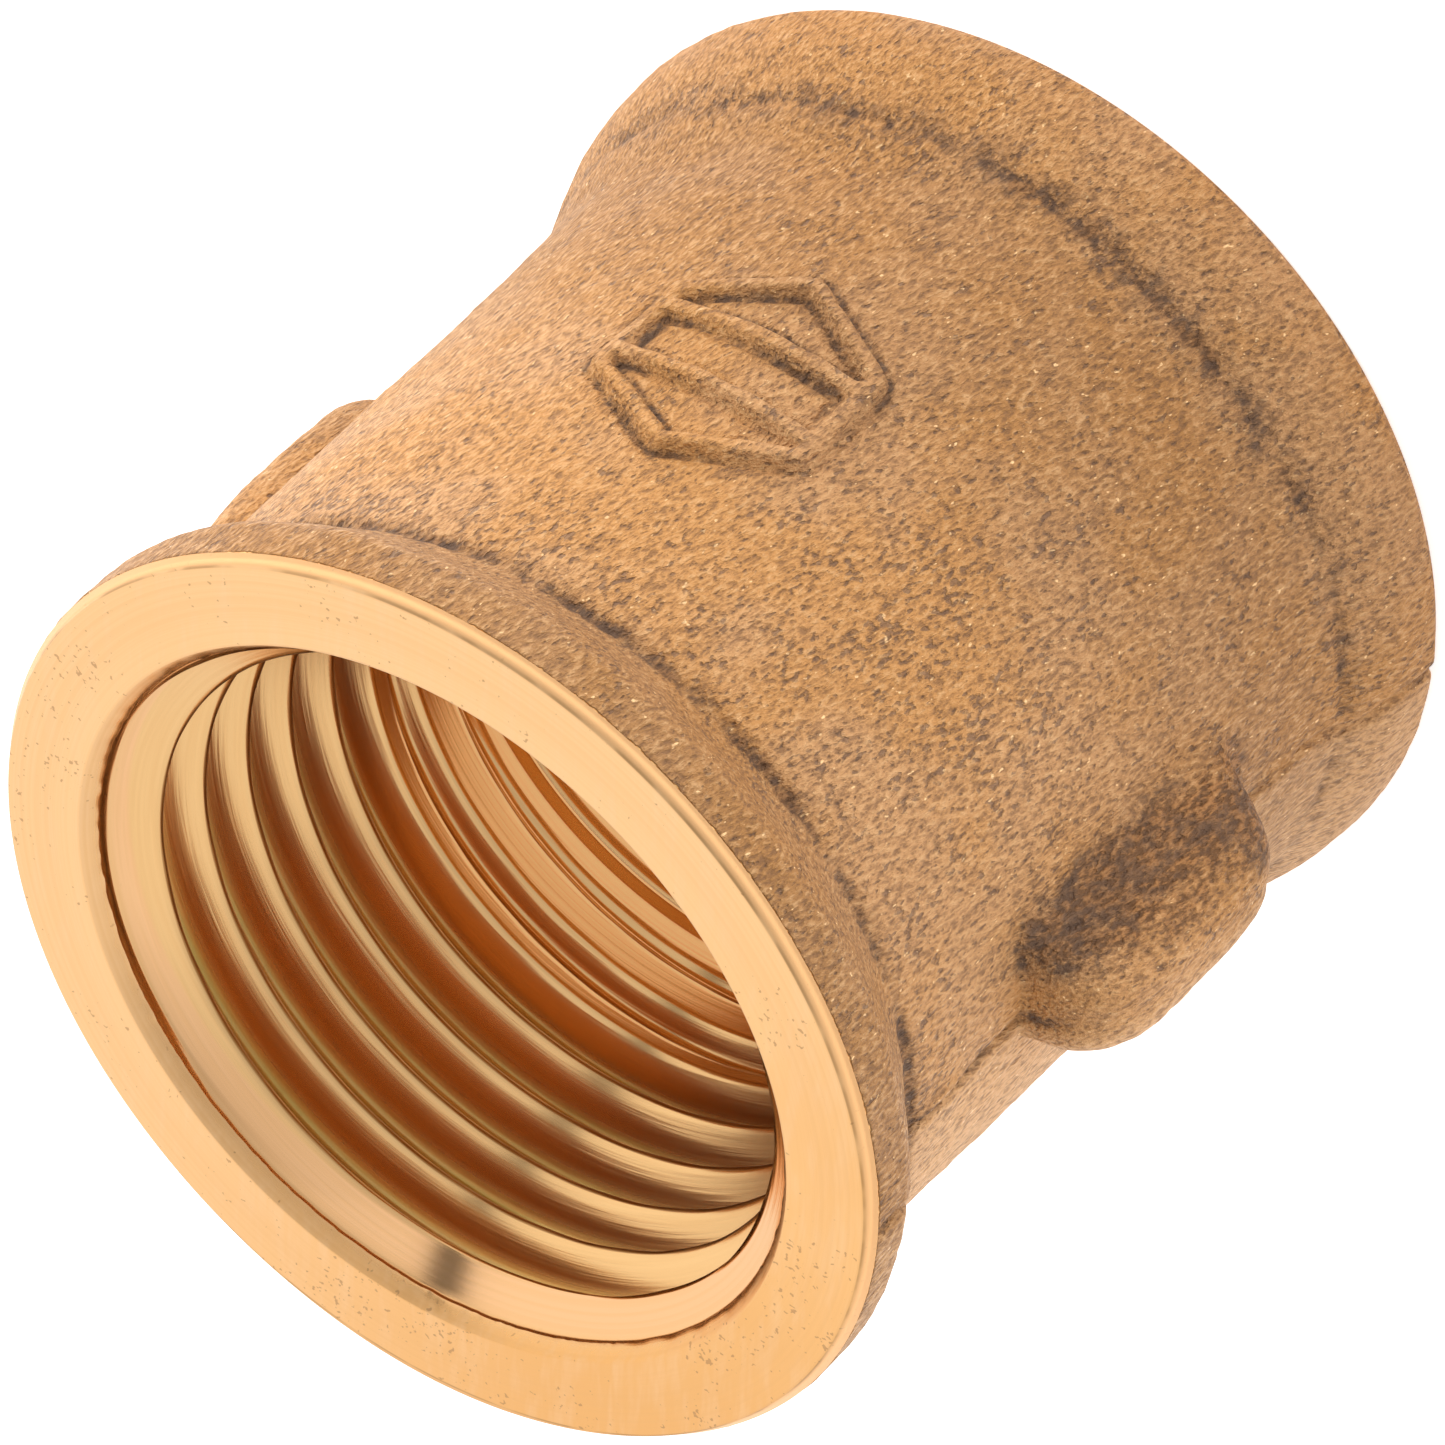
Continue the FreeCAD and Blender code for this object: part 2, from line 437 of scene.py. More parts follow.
# painted glint colour
GLINT = (1.0, 0.68, 0.36)
BRASS = (0.94, 0.545, 0.225)
# painted sheen colour for the end face
BRASS_SHEEN = (0.96, 0.60, 0.30)
# deeper brass for random patches, and painted shade on the end face
BRASS_DEEP_AND_SHADE = (0.85, 0.455, 0.165)
BRASS_BORE = (0.885, 0.562, 0.258)
BRASS_SINK = (0.91, 0.535, 0.275)
BRASS_BEVEL_SHADE = (0.84, 0.50, 0.235)
OIL_AND_SHADE_BROWN = (0.66, 0.485, 0.125)
LAND_SHADE = (0.38, 0.170, 0.045)
SCUFF = (0.99, 0.70, 0.42)
LATHE_MARK = (0.80, 0.44, 0.17)
SPECK = (0.40, 0.22, 0.10)
SHADE_LINE = (0.34, 0.17, 0.06)


class Finish(TreeWriter):
    """A material being written."""

    def __init__(self, name):
        self.material = bpy.data.materials.new(name)
        self.material.use_nodes = True
        super().__init__(self.material.node_tree)
        self.shader = self.tree.nodes["Principled BSDF"]
        self.coords = self.node("ShaderNodeTexCoord").outputs["Object"]

    def shifted(self, vector, move):
        made = self.node("ShaderNodeVectorMath", operation="ADD")
        self.feed(made.inputs[0], vector)
        self.feed(made.inputs[1], move)
        return made.outputs[0]

    def drawn(self, keep, move=(0, 0, 0)):
        """Coordinates drawn out along GRAIN_RUN, so that grain lies along it."""
        reach = self.times(self.along(self.coords, GRAIN_RUN), keep - 1.0)
        back = self.scaled(Vector(GRAIN_RUN).normalized(), reach)
        return self.shifted(self.shifted(self.coords, back), move)

    def stretched(self, scale):
        made = self.node("ShaderNodeMapping")
        self.feed(made.inputs["Vector"], self.coords)
        made.inputs["Scale"].default_value = scale
        return made.outputs[0]

    def noise(self, size, vector=None, detail=3.0, rough=0.55):
        """Noise with features of about that size."""
        made = self.node("ShaderNodeTexNoise")
        self.feed(made.inputs["Vector"], vector or self.coords)
        made.inputs["Scale"].default_value = 1.0 / size
        made.inputs["Detail"].default_value = detail
        made.inputs["Roughness"].default_value = rough
        return made.outputs[0]

    def ramp(self, value, low, high, out_low=0.0, out_high=1.0):
        """As window, but straight between its ends."""
        return self.window(value, low, high, out_low, out_high, "LINEAR")

    def gathered(self, value, strength):
        """Noise as a push to either side of nothing."""
        return self.times(self.less(value, 0.5), strength)

    def blend(self, share, a, b):
        """The colour a, with that share of b."""
        made = self.node("ShaderNodeMix", data_type="RGBA", blend_type="MIX")
        self.feed(made.inputs["Factor"], share)
        for socket, value in ((made.inputs[6], a), (made.inputs[7], b)):
            self.feed(socket, value if isinstance(value, bpy.types.NodeSocket) else (*value, 1.0))
        return made.outputs[2]

    def slide(self, share, a, b):
        """A number from a to b as share goes from 0 to 1."""
        made = self.node("ShaderNodeMix", data_type="FLOAT")
        self.feed(made.inputs["Factor"], share)
        self.feed(made.inputs[2], a)
        self.feed(made.inputs[3], b)
        return made.outputs[0]

    def attribute(self, label):
        return self.node("ShaderNodeAttribute", attribute_name=label).outputs["Fac"]

    def bump(self, height, depth, strength):
        made = self.node("ShaderNodeBump")
        self.feed(made.inputs["Height"], height)
        made.inputs["Distance"].default_value = depth
        made.inputs["Strength"].default_value = strength
        return made.outputs[0]

    def done(self, **sockets):
        for label, value in sockets.items():
            self.feed(self.shader.inputs[label.replace("_", " ")], value)
        return self.material


def metal_tone(f, z, floor_lit_half):
    """Tan and golden patches; lighter and pinker on the +Y half, painted light from the floor
    below; painted shade as a darker belt over the lower crease and at the lower rim; and a darker
    upper collar."""
    patches = f.noise(4.5 * MM)
    tone = f.blend(f.window(patches, 0.38, 0.62), TAN, GOLDEN)
    # painted light: the +Y half is lighter and pinker where the floor lights it from below
    tone = f.blend(f.times(floor_lit_half, 0.75), tone, PINK_FLOOR_LIGHT)
    # painted shade: darker over the lower crease and towards the lower end; the upper collar is
    # only toned darker
    belt = f.times(f.window(z, 2.6 * MM, 5.0 * MM), f.window(z, 16.0 * MM, 7.0 * MM))
    collar = f.times(f.window(z, LENGTH - 5.0 * MM, LENGTH - 2.5 * MM), 1.05)
    lower_rim = f.window(z, 4.0 * MM, 2.0 * MM, 0.0, 0.38)
    dull_and_shade = f.larger(f.larger(belt, collar), lower_rim)
    return f.blend(f.times(dull_and_shade, 0.46), tone, DULL_AND_SHADE_BROWN)


def blasting_stain_and_shade(f, tone, grain, coarse):
    """The dark and rusty staining that shot-blasting leaves in the hollows, mixed with the
    painted shade round the mark.
    """
    patches = f.noise(0.40 * MM, f.drawn(0.6, (0.2, 0, 0)), detail=4.0, rough=0.7)
    ragged = f.window(patches, 0.35, 0.65, 0.35, 1.35)
    stain_and_shade = f.window(f.times(f.attribute("stain_and_shade"), ragged), 0.06, 1.0, 0.0, 0.90)
    rust = f.plus(f.attribute("rust"), f.window(coarse, 0.40, 0.60, 0.0, 0.6))
    streaks = f.blend(f.window(grain, 0.42, 0.60), STAIN_RUST, RUST_LIGHT)
    return f.blend(stain_and_shade, tone, f.blend(f.maths("MINIMUM", rust, 1.0), STAIN_AND_SHADE, streaks))


def cast_finish():
    """Sand-cast skin: tan grain with dark pits, small glints partly painted as highlights,
    stained creases, painted shade round the mark and towards the lower end, and painted light on
    the +Y half.
    """
    f = Finish("cast_skin_finish")
    x, y, z = f.split(f.coords)
    # the +Y half: lighter and pinker there as painted light from the floor, and with fewer pits
    floor_lit_half = f.window(y, -0.1 * MM, 0.9 * MM)
    tone = metal_tone(f, z, floor_lit_half)
    # light and dark grain together
    grain = f.noise(GRAIN, f.drawn(0.40), detail=2.5, rough=0.6)
    coarse = f.noise(0.45 * MM, f.drawn(0.6, (0, 0, 0.3)), rough=0.6)
    level = f.plus(f.times(grain, 0.80), f.times(coarse, 0.20))
    tone = f.blend(f.ramp(level, 0.37, 0.51, 0.56, 0.0), tone, GRAIN_DARK)
    tone = f.blend(f.ramp(level, 0.52, 0.66, 0.0, 0.45), tone, GRAIN_LIGHT)
    # pits, in clusters and where the skin is dirty
    gather = f.gathered(f.noise(1.3 * MM, detail=4.0, rough=0.65), 0.50)
    gather = f.plus(gather, f.times(f.attribute("dirt"), 0.09))
    pits = f.noise(0.14 * MM, f.drawn(0.5, (0, 0.2, 0)), detail=2.0, rough=0.5)
    pit = f.window(f.plus(pits, gather), 0.60, 0.76)
    pit = f.times(pit, f.less(1.0, f.times(floor_lit_half, 0.6)))
    tone = f.blend(f.times(pit, 0.60), tone, PIT)
    # painted glints: bright colour spots, partly painted highlight and partly real shinier, fully
    # metallic grains
    glint = f.window(f.noise(0.13 * MM, f.drawn(0.5, (0.1, 0, 0.4)), detail=1.0), 0.71, 0.77)
    tone = f.blend(f.times(glint, 0.7), tone, GLINT)
    tone = blasting_stain_and_shade(f, tone, grain, coarse)
    # bright metal where the rim's chamfer cuts the skin
    ragged_edge = f.gathered(f.noise(0.25 * MM), 0.10)
    cut = f.window(f.plus(f.attribute("cut"), ragged_edge), -0.012, 0.012)
    tone = f.blend(cut, tone, BRASS)
    rough = f.slide(glint, f.window(grain, 0.3, 0.7, 0.66, 0.50), 0.30)
    rough = f.slide(cut, rough, 0.30)
    metal = f.slide(cut, f.slide(glint, 0.45, 1.0), 1.0)
    relief = f.times(f.less(level, f.times(pit, 0.25)), f.slide(cut, 1.0, 0.0))
    bump = f.bump(relief, 0.24 * MM, 1.0)
    return f.done(Base_Color=tone, Metallic=metal, Roughness=rough, Normal=bump)


def bare_brass(f, x, y, on_face, in_sink):
    """Clean brass: deeper in patches, its own tone in the bore and in the
    countersink, and on the end face a painted sheen towards +X and -Y and painted shade towards
    +Y."""
    tone = f.blend(f.window(f.noise(4.0 * MM, detail=2.0), 0.3, 0.7, 0.0, 0.5), BRASS, BRASS_DEEP_AND_SHADE)
    off_face = f.slide(on_face, 0.9, 0.0)
    tone = f.blend(off_face, tone, BRASS_BORE)
    tone = f.blend(f.times(in_sink, off_face), tone, BRASS_SINK)
    # painted light on the end face: a sheen on the side towards the key lamp, shade on the other
    # side
    painted_sheen = f.larger(f.window(x, -6.0 * MM, 12.0 * MM), f.window(y, 2.0 * MM, -11.0 * MM))
    painted_shade_side = f.window(y, -4.0 * MM, 13.0 * MM)
    tone = f.blend(f.times(painted_shade_side, on_face), tone, BRASS_DEEP_AND_SHADE)
    return f.blend(f.times(painted_sheen, on_face, 0.9), tone, BRASS_SHEEN)


def tool_marks(f, tone, lathe, scuffs, on_face):
    """Scuffs on the face, faint turned rings everywhere and a few specks."""
    tone = f.blend(f.times(f.window(scuffs, 0.40, 0.75, 0.0, 0.28), on_face), tone, SCUFF)
    tone = f.blend(f.window(lathe, 0.35, 0.65, 0.0, 0.24), tone, LATHE_MARK)
    specks = f.noise(0.16 * MM, f.shifted(f.coords, (0.4, 0.1, 0)), detail=1.0)
    thin = f.noise(2.5 * MM, f.shifted(f.coords, (0.7, 0.1, 0)), detail=1.0)
    speck = f.times(f.window(f.plus(specks, f.gathered(thin, 0.4)), 0.72, 0.77), on_face)
    return f.blend(f.times(speck, 0.6), tone, SPECK)


def thread_oil_and_shade(f, radius, z, rings):
    """Where the thread is darkened: in streaks along its roots, by tapping oil and
    as painted shade, and on the lands above FULL_THREAD as painted shade. Gives the oily, filmed
    and land-shade shares of a spot."""
    groove = f.maths("DIVIDE", f.less(radius, CREST_R), ROOT_R - CREST_R)
    sink_end = LENGTH - SINK_DEPTH
    in_bore = f.window(radius, MOUTH_R, MOUTH_R - 0.1 * MM)
    threads = f.times(in_bore, f.window(z, sink_end + 0.05 * MM, sink_end - 0.15 * MM))
    root = f.window(groove, 0.64, 1.00)
    land = f.window(groove, 0.05, 0.015)
    # painted shade on the full lands near the mouth
    full = f.window(z, LENGTH - FULL_THREAD - 1.0 * MM, LENGTH - FULL_THREAD + 1.0 * MM)
    land = f.times(land, full, threads)
    patchy = f.window(f.noise(3.0 * MM, detail=2.0), 0.3, 0.7, 0.70, 0.95)
    streaks = f.window(f.noise(0.24 * MM, rings), 0.38, 0.62, 0.55, 1.0)
    # partly oil residue, partly painted shade darkening the thread's roots
    oil_film_and_shade = f.times(root, threads, f.times(patchy, streaks))
    return f.larger(root, land), oil_film_and_shade, f.times(land, patchy)


def painted_shade_ring(f, radius):
    """Painted shade: a thin dark line beside the bevel, where the mesh has no groove."""
    away = f.maths("ABSOLUTE", f.less(radius, BEVEL_START + 0.01 * MM))
    patches = f.window(f.noise(1.6 * MM, detail=2.0), 0.35, 0.6, 0.10, 0.60)
    return f.times(f.window(away, 0.045 * MM, 0.015 * MM), patches)


def machined_finish():
    """Turned and tapped brass: bright, with faint tool marks and specks."""
    f = Finish("machined_brass")
    x, y, z = f.split(f.coords)
    radius = f.from_axis(x, y)
    rings = f.joined(radius, z)
    on_face = f.window(radius, CREST_R + 0.9 * MM, MOUTH_R)
    in_sink = f.window(z, LENGTH - SINK_DEPTH, LENGTH - SINK_DEPTH + 0.1 * MM)
    lathe = f.noise(0.11 * MM, rings, detail=2.0)
    scuffs = f.noise(0.35 * MM, f.stretched((1.0, 0.16, 1.0)))
    tone = bare_brass(f, x, y, on_face, in_sink)
    tone = tool_marks(f, tone, lathe, scuffs, on_face)
    oily, oil_film_and_shade, land_shade = thread_oil_and_shade(f, radius, z, rings)
    # oil residue and painted shade in the thread roots
    tone = f.blend(oil_film_and_shade, tone, OIL_AND_SHADE_BROWN)
    # painted shade: the lands near the mouth are coloured dark
    tone = f.blend(land_shade, tone, LAND_SHADE)
    # painted shade: a dark line beside the bevel
    tone = f.blend(painted_shade_ring(f, radius), tone, SHADE_LINE)
    bevel = f.window(radius, BEVEL_START, BEVEL_START + 0.05 * MM)
    # painted shade: the bevel is coloured darker than the face
    tone = f.blend(f.times(bevel, 0.8), tone, BRASS_BEVEL_SHADE)
    rough = f.slide(oily, 0.20, 0.36)
    rough = f.slide(in_sink, rough, 0.14)
    rough = f.slide(on_face, rough, f.window(scuffs, 0.3, 0.7, 0.30, 0.42))
    rough = f.slide(bevel, rough, 0.52)
    metal = f.slide(oil_film_and_shade, 1.0, 0.60)
    relief = f.plus(f.times(lathe, 0.5), f.times(scuffs, f.times(on_face, 0.5)))
    bump = f.bump(relief, 0.014 * MM, 0.6)
    return f.done(Base_Color=tone, Metallic=metal, Roughness=rough, Normal=bump)


def floor_finish():
    f = Finish("pale_floor")
    tone = f.blend(f.noise(0.05, detail=2.0), (0.93, 0.93, 0.93), (0.95, 0.95, 0.95))
    white = (1.0, 1.0, 1.0, 1.0)
    return f.done(Base_Color=tone, Roughness=0.9, Emission_Color=white, Emission_Strength=0.55)


def strip_finish():
    f = Finish("dark_cloth")
    tone = f.blend(f.noise(0.01), (0.02, 0.02, 0.02), (0.04, 0.035, 0.03))
    return f.done(Base_Color=tone, Roughness=0.9)


# ---------------------------------------------------------- the cast skin
def barrel_radius(z):
    """Radius of the bare barrel, which opens a little towards the lower end."""
    low, high = LOWER_COLLAR, LENGTH - UPPER_COLLAR
    share = (z - low) / (high - low)
    straight = LOWER_CREASE_R + (UPPER_CREASE_R - LOWER_CREASE_R) * share
    bow = BARREL_MID_R - (LOWER_CREASE_R + UPPER_CREASE_R) / 2
    return straight + bow * 4 * share * (1 - share)


def rim_bulge(a):
    """The upper rim stands a little fuller on the +Y side."""
    return 0.16 * MM * bell(turned_away(a, math.radians(92)), 0, 0.48)


def collar_rise(depth, length):
    """1 on the collar's full radius, 0 on the barrel, with a hollow shoulder."""
    return 1.0 - ease(depth, COLLAR_LAND * 0.75, length * 1.02)


def mark_strokes():
    """The plain mark: a six-sided outline with two bars across."""
    corner = MARK_CORNER_R
    points = [
        (corner * math.sin(math.radians(60 * i)), corner * math.cos(math.radians(60 * i)))
        for i in range(6)
    ]
    strokes = [(points[i], points[(i + 1) % 6]) for i in range(6)]
    flat = corner * math.cos(math.radians(30))
    for level in (-1.05 * MM, 1.05 * MM):
        strokes.append(((-flat, level), (flat, level)))
    return strokes


def skin_rows():
    """Heights of the skin's rows, closer together at both rims."""
    cast_rim = np.array([0.01, 0.05, 0.10, 0.18, 0.28, 0.40, 0.53, 0.66, 0.78, 0.90]) * MM
    cut_rim = np.linspace(0.10, 0.90, 9) * MM
    middle = np.linspace(0.90 * MM, LENGTH - 0.90 * MM, 184)[1:-1]
    return np.concatenate([cast_rim, middle, LENGTH - cut_rim[::-1]])


class CastSkin:
    """The casting's outer surface: r is its radius at every height z (rows)
    and angle a (columns). Each method works one feature into it."""

    def __init__(self):
        self.a = a = SKIN_ANGLES[None, :]
        self.z = z = skin_rows()[:, None]
        self.depth = LENGTH - z
        self.minus_x = np.cos(a) < 0
        y = ACROSS_R * np.tan(np.clip((a + RIGHT_ANGLE) % math.pi - RIGHT_ANGLE, -0.6, 0.6))
        self.y = np.where(self.minus_x, -y, y)     # across the nearer lug
        self.plane_y = np.sin(a) * ACROSS_R        # from the parting plane
        self.crease_wander = self.noise([(5, 0.0, 0.10), (14, 0.0, 0.05)], 8, level=0) * MM
        self.crack_wander = 0.13 * MM * self.noise([(1, 2.2, 1.0)], 61, turn=0)
        lean = 0.14 * MM * (1 - ease(z, 3 * MM, 22 * MM)) * np.cos(a - math.radians(150))
        self.r = barrel_radius(z) + lean + self.noise([(3, 0.25, 0.06), (9, 0.8, 0.035)], 5) * MM

    def noise(self, waves, seed, turn=1, level=1):
        """turn=0 makes it the same all round, level=0 the same at every height."""
        return ring_noise(turn * self.a, level * self.z, waves, seed)

    def raise_collars(self):
        a, z, wander = self.a, self.z, self.crease_wander
        up = collar_rise(self.depth + wander, UPPER_COLLAR)
        r = self.r + (UPPER_RIM_R + rim_bulge(a) - self.r) * up
        flatter = 0.04 * MM * (1 - np.cos(a - math.radians(315)))
        rim = LOWER_RIM_R - 0.03 * MM - flatter - 0.05 * MM * ease(z, 0.0, 1.2 * MM)
        shoulder = SHOULDER_R + SHOULDER_SLOPE * (SHOULDER_Z - z - wander)
        shoulder = -soft_max(-shoulder, -rim, 0.30 * MM)
        r = soft_max(shoulder, r, 0.22 * MM)
        self.up_line = bell(self.depth, UPPER_COLLAR + wander, 0.22 * MM)
        self.down_line = bell(z, LOWER_COLLAR + wander, 0.26 * MM)
        self.broken = np.clip(0.6 + 0.7 * self.noise([(24, 0.0, 0.8)], 12, level=0), 0, 1)
        self.r = r - (0.15 * self.up_line + 0.13 * self.down_line) * self.broken * MM

    def raise_lugs(self):
        """The two lugs on the parting plane. The -X one runs out gently
        towards -Y, with a shallow dip in its flank."""
        a, z, y, r = self.a, self.z, self.y, self.r
        width = np.abs(y) / LUG_HALF_WIDTH
        middle = MIDDLE + np.where(self.minus_x, 0.0, LUG_SHIFT)
        upper_half = LUG_HALF_LENGTH - np.where(self.minus_x, LUG_SHIFT, 0.0)
        span = np.where(z > middle, (z - middle) / upper_half, (middle - z) / LUG_HALF_LENGTH)
        ends = span ** np.where(z > MIDDLE, 3.2, 6.0)
        worn_top = LUG_TOP - (0.08 + 0.08 * ease(z, MIDDLE, MIDDLE + 4 * MM)) * MM
        rise = worn_top - LUG_FOOT
        fullness = np.where(self.minus_x, 4.0, 5.0)
        inside = np.clip(1.0 - width**fullness - ends, 0.0, 1.0)
        leaning = np.cos(np.arctan2(y, ACROSS_R))
        lug = np.where(inside > 0, (LUG_FOOT + rise * inside**0.30) / leaning, LUG_FOOT)
        ridge_top = LUG_FOOT + rise * np.clip(1.0 - ends, 0.0, 1.0) ** 0.30
        ridge = soft_max(ridge_top, r, LUG_FILLET)
        flank = r + (ridge - r) * (1 - ease(np.abs(y), 0.25 * MM, 3.5 * MM))
        dip = bell(y, -2.5 * MM, 0.8 * MM) * bell(z, MIDDLE + 2.0 * MM, 3.2 * MM)
        gentle = (np.sin(a) < 0) & self.minus_x
        self.r = np.where(gentle, flank - 0.22 * MM * dip, soft_max(lug, r, LUG_FILLET))
        self.off_lug = 0.15 + 0.85 * ease(span, 0.85, 1.05)

    def part_the_mould(self):
        """The two mould halves don't quite meet: a crack with a thin fin beside it."""
        crack = bell(self.plane_y, 0.22 * MM + self.crack_wander, 0.17 * MM)
        r = self.r - 0.21 * MM * self.off_lug * crack
        fin = np.clip(0.6 + self.noise([(1, 3.0, 0.7)], 19, turn=0), 0, 1)
        self.r = r + 0.10 * MM * self.off_lug * bell(np.abs(self.y), 0, 0.14 * MM) * fin

    def raise_mark(self):
        """The mark on the -Y side, with a shallow moat round its strokes."""
        across = (self.a - 1.5 * math.pi) * MARK_R
        level = self.z - MIDDLE
        nearest = np.full(self.r.shape, 1.0)
        for start, stop in mark_strokes():
            nearest = np.minimum(nearest, to_segment(across, level, start, stop))
        nearest = nearest + 0.035 * MM * self.noise([(60, 4.0, 0.8)], 23)
        worn = np.clip(0.95 + 0.25 * self.noise([(12, 0.9, 0.8)], 29), 0.70, 1.0)
        mark = (1.0 - ease(nearest, 0.16 * MM, 0.34 * MM)) * worn
        self.moat = bell(nearest, 0.40 * MM, 0.11 * MM)
        self.r = self.r + MARK_HEIGHT * mark - 0.08 * MM * self.moat

    def cut_rims(self):
        """The upper rim's chamfer cuts the skin, the lower rim is a small bevel."""
        cone = UPPER_RIM_R + rim_bulge(self.a) - CHAMFER_R + CHAMFER_R * self.depth / CHAMFER_Z
        self.cut = np.maximum(-1.0, (self.r - cone) / MM)
        r = np.minimum(self.r, cone - SKIN_GAP)
        r = r - CAST_EDGE * (1 - ease(self.z, 0.0, 0.30 * MM)) ** 2
        self.r = np.minimum(r, LUG_TOP - 0.06 * MM)
        at_edge = (self.cut > -0.02) | (self.z < 0.03 * MM)
        self.cast = np.where(at_edge, 0.0, 1.0)

    def stain_and_shade_hollows(self):
        """Staining that shot-blasting leaves in the creases and hollows, and painted shade in the
        moat round the mark.
        """
        z, y = self.z, self.y
        along = ease(z, 6.9 * MM, 8.4 * MM) * (1 - ease(z, 15.6 * MM, 18.6 * MM)) * self.minus_x
        pocket_y = -(1.6 + 0.7 * ease(z, 9 * MM, 12 * MM)) * MM
        pocket = bell(y, pocket_y, 0.95 * MM) * along
        rusty = ease(-y, 0.5 * MM, 1.3 * MM) * (1 - ease(-y, 2.4 * MM, 3.4 * MM)) * along
        self.rusty = rusty * (1 - ease(z, 13 * MM, 17 * MM)) * (1 - 0.8 * pocket)
        self.wide_line = bell(z, LOWER_COLLAR + self.crease_wander, 0.80 * MM)
        dark_side = 0.50 + 0.50 * beside(self.a, 255, 0.50)
        lower_line = 1.1 * self.down_line * (0.55 + 0.45 * self.broken)
        stain_and_shade = 1.30 * self.up_line * (0.25 + 0.75 * self.broken)
        stain_and_shade = stain_and_shade + dark_side * np.maximum(lower_line, 0.65 * self.wide_line)
        stain_and_shade = np.maximum(stain_and_shade, np.maximum(1.80 * pocket, 1.1 * self.rusty))
        moat_shade_breakup = np.clip(0.65 + 0.9 * self.noise([(14, 1.2, 0.9)], 47), 0.1, 1.2)
        # painted shade: the moat round the raised mark is darkened as if in shadow, in the same
        # attribute as the stains
        stain_and_shade = np.maximum(stain_and_shade, 1.10 * self.moat * moat_shade_breakup)
        crack = bell(self.plane_y, 0.12 * MM + self.crack_wander, 0.22 * MM)
        cracked = np.clip(self.noise([(1, 2.0, 1.0)], 43, turn=0) + 0.35, 0, 1)
        near_collar = ease(z, 17.5 * MM, 18.5 * MM) * (1 - ease(z, 22.5 * MM, 23.5 * MM))
        cracked = np.maximum(cracked, 1.1 * near_collar)
        self.stain_and_shade = np.maximum(stain_and_shade, 1.35 * crack * cracked * self.off_lug)

    def dirty_patches(self):
        """Where the pits crowd: above both creases and on the -X, -Y side."""
        above = bell(self.depth, UPPER_COLLAR + 0.9 * MM, 1.5 * MM)
        side = bell(self.z, 15 * MM, 5 * MM) * beside(self.a, 225, 0.28)
        self.dirt = np.maximum(np.maximum(0.8 * above, side), 0.7 * self.wide_line)


def make_skin():
    skin = CastSkin()
    skin.raise_collars()
    skin.raise_lugs()
    skin.part_the_mould()
    skin.raise_mark()
    skin.cut_rims()
    skin.stain_and_shade_hollows()
    skin.dirty_patches()
    # a hidden inner wall closes the ring
    wall = [
        (12.4 * MM, LENGTH - 0.35 * MM),
        (11.2 * MM, LENGTH - 0.70 * MM),
        (11.2 * MM, 0.70 * MM),
        (12.4 * MM, 0.06 * MM),
    ]
    wall_r = np.array([radius for radius, height in wall])[:, None] + 0 * skin.a
    wall_z = np.array([height for radius, height in wall])[:, None]
    blank = np.zeros(wall_r.shape)
    whole = np.ones(skin.r.shape)
    extra = {
        "stain_and_shade": np.vstack([skin.stain_and_shade * whole, blank]),
        "rust": np.vstack([skin.rusty * whole, blank]),
        "dirt": np.vstack([skin.dirt * whole, blank]),
        "cut": np.vstack([skin.cut, blank - 1]),
        "cast": np.vstack([skin.cast * whole, blank]),
    }
    radius = np.vstack([skin.r, wall_r])
    return turned("cast_skin", SKIN_ANGLES, radius, np.vstack([skin.z, wall_z]), extra)


# ------------------------------------------------------ the machined ends
def rim_points(rim_r, chamfered):
    """(radius, depth) from the hidden seat inside the skin to the end face."""
    start = rim_r - CHAMFER_R
    foot = 0.95    # how far down its slope the chamfer stops
    points = [(11.9 * MM, 1.9 * MM), (rim_r - 0.6 * MM, 0.50 * MM)]
    if chamfered:
        points += [
            (rim_r - CHAMFER_R * (1 - foot), CHAMFER_Z * foot),
            (start + 0.045 * MM, 0.090 * MM),
            (start + 0.015 * MM, 0.045 * MM),
            (start - 0.020 * MM, 0.010 * MM),
        ]
    points.append((start - 0.06 * MM, 0.0))
    for share in np.linspace(0.04, 0.96, 9):
        points.append((start + (MOUTH_R - start) * share, 0.0))
    return points


def mouth_points():
    """(radius, depth) from the end face down the mouth's chamfer to its burr."""
    return [
        (MOUTH_R + 0.02 * MM, 0.0),
        (MOUTH_R - 0.01 * MM, 0.02 * MM),
        (BURR_R + 0.10 * MM, BURR_DEPTH - 0.12 * MM),
        (BURR_R + 0.01 * MM, BURR_DEPTH - 0.01 * MM),
        (BURR_R, BURR_DEPTH + 0.03 * MM),
        (BURR_R + 0.04 * MM, BURR_DEPTH + 0.09 * MM),
        (LIP_R, LIP_DEPTH),
    ]


def thread_points(thread_depth):
    """(radius, depth) down the countersink and the bore that the tap cuts."""
    points = []
    steps = 7
    for i in range(1, steps + 1):
        share = i / steps
        depth = LIP_DEPTH + (SINK_DEPTH - LIP_DEPTH) * share
        points.append((LIP_R + (CREST_R - LIP_R) * share, depth))
    rows = int((thread_depth - SINK_DEPTH) / (0.085 * MM))
    for i in range(1, rows + 1):
        points.append((CREST_R, SINK_DEPTH + (thread_depth - SINK_DEPTH) * i / rows))
    return points


def end_section(rim_r, thread_depth, stop_depth, chamfered):
    """(radius, depth from the face, threaded) down one end, face first."""
    last = [
        (RIDGE_R, thread_depth + 0.12 * MM),
        (RIDGE_R, stop_depth),
        (11.0 * MM, stop_depth),
        (11.0 * MM, 2.2 * MM),
    ]
    section = [(r, depth, 0) for r, depth in rim_points(rim_r, chamfered) + mouth_points()]
    section += [(r, depth, 1) for r, depth in thread_points(thread_depth)]
    return section + [(r, depth, 0) for r, depth in last]


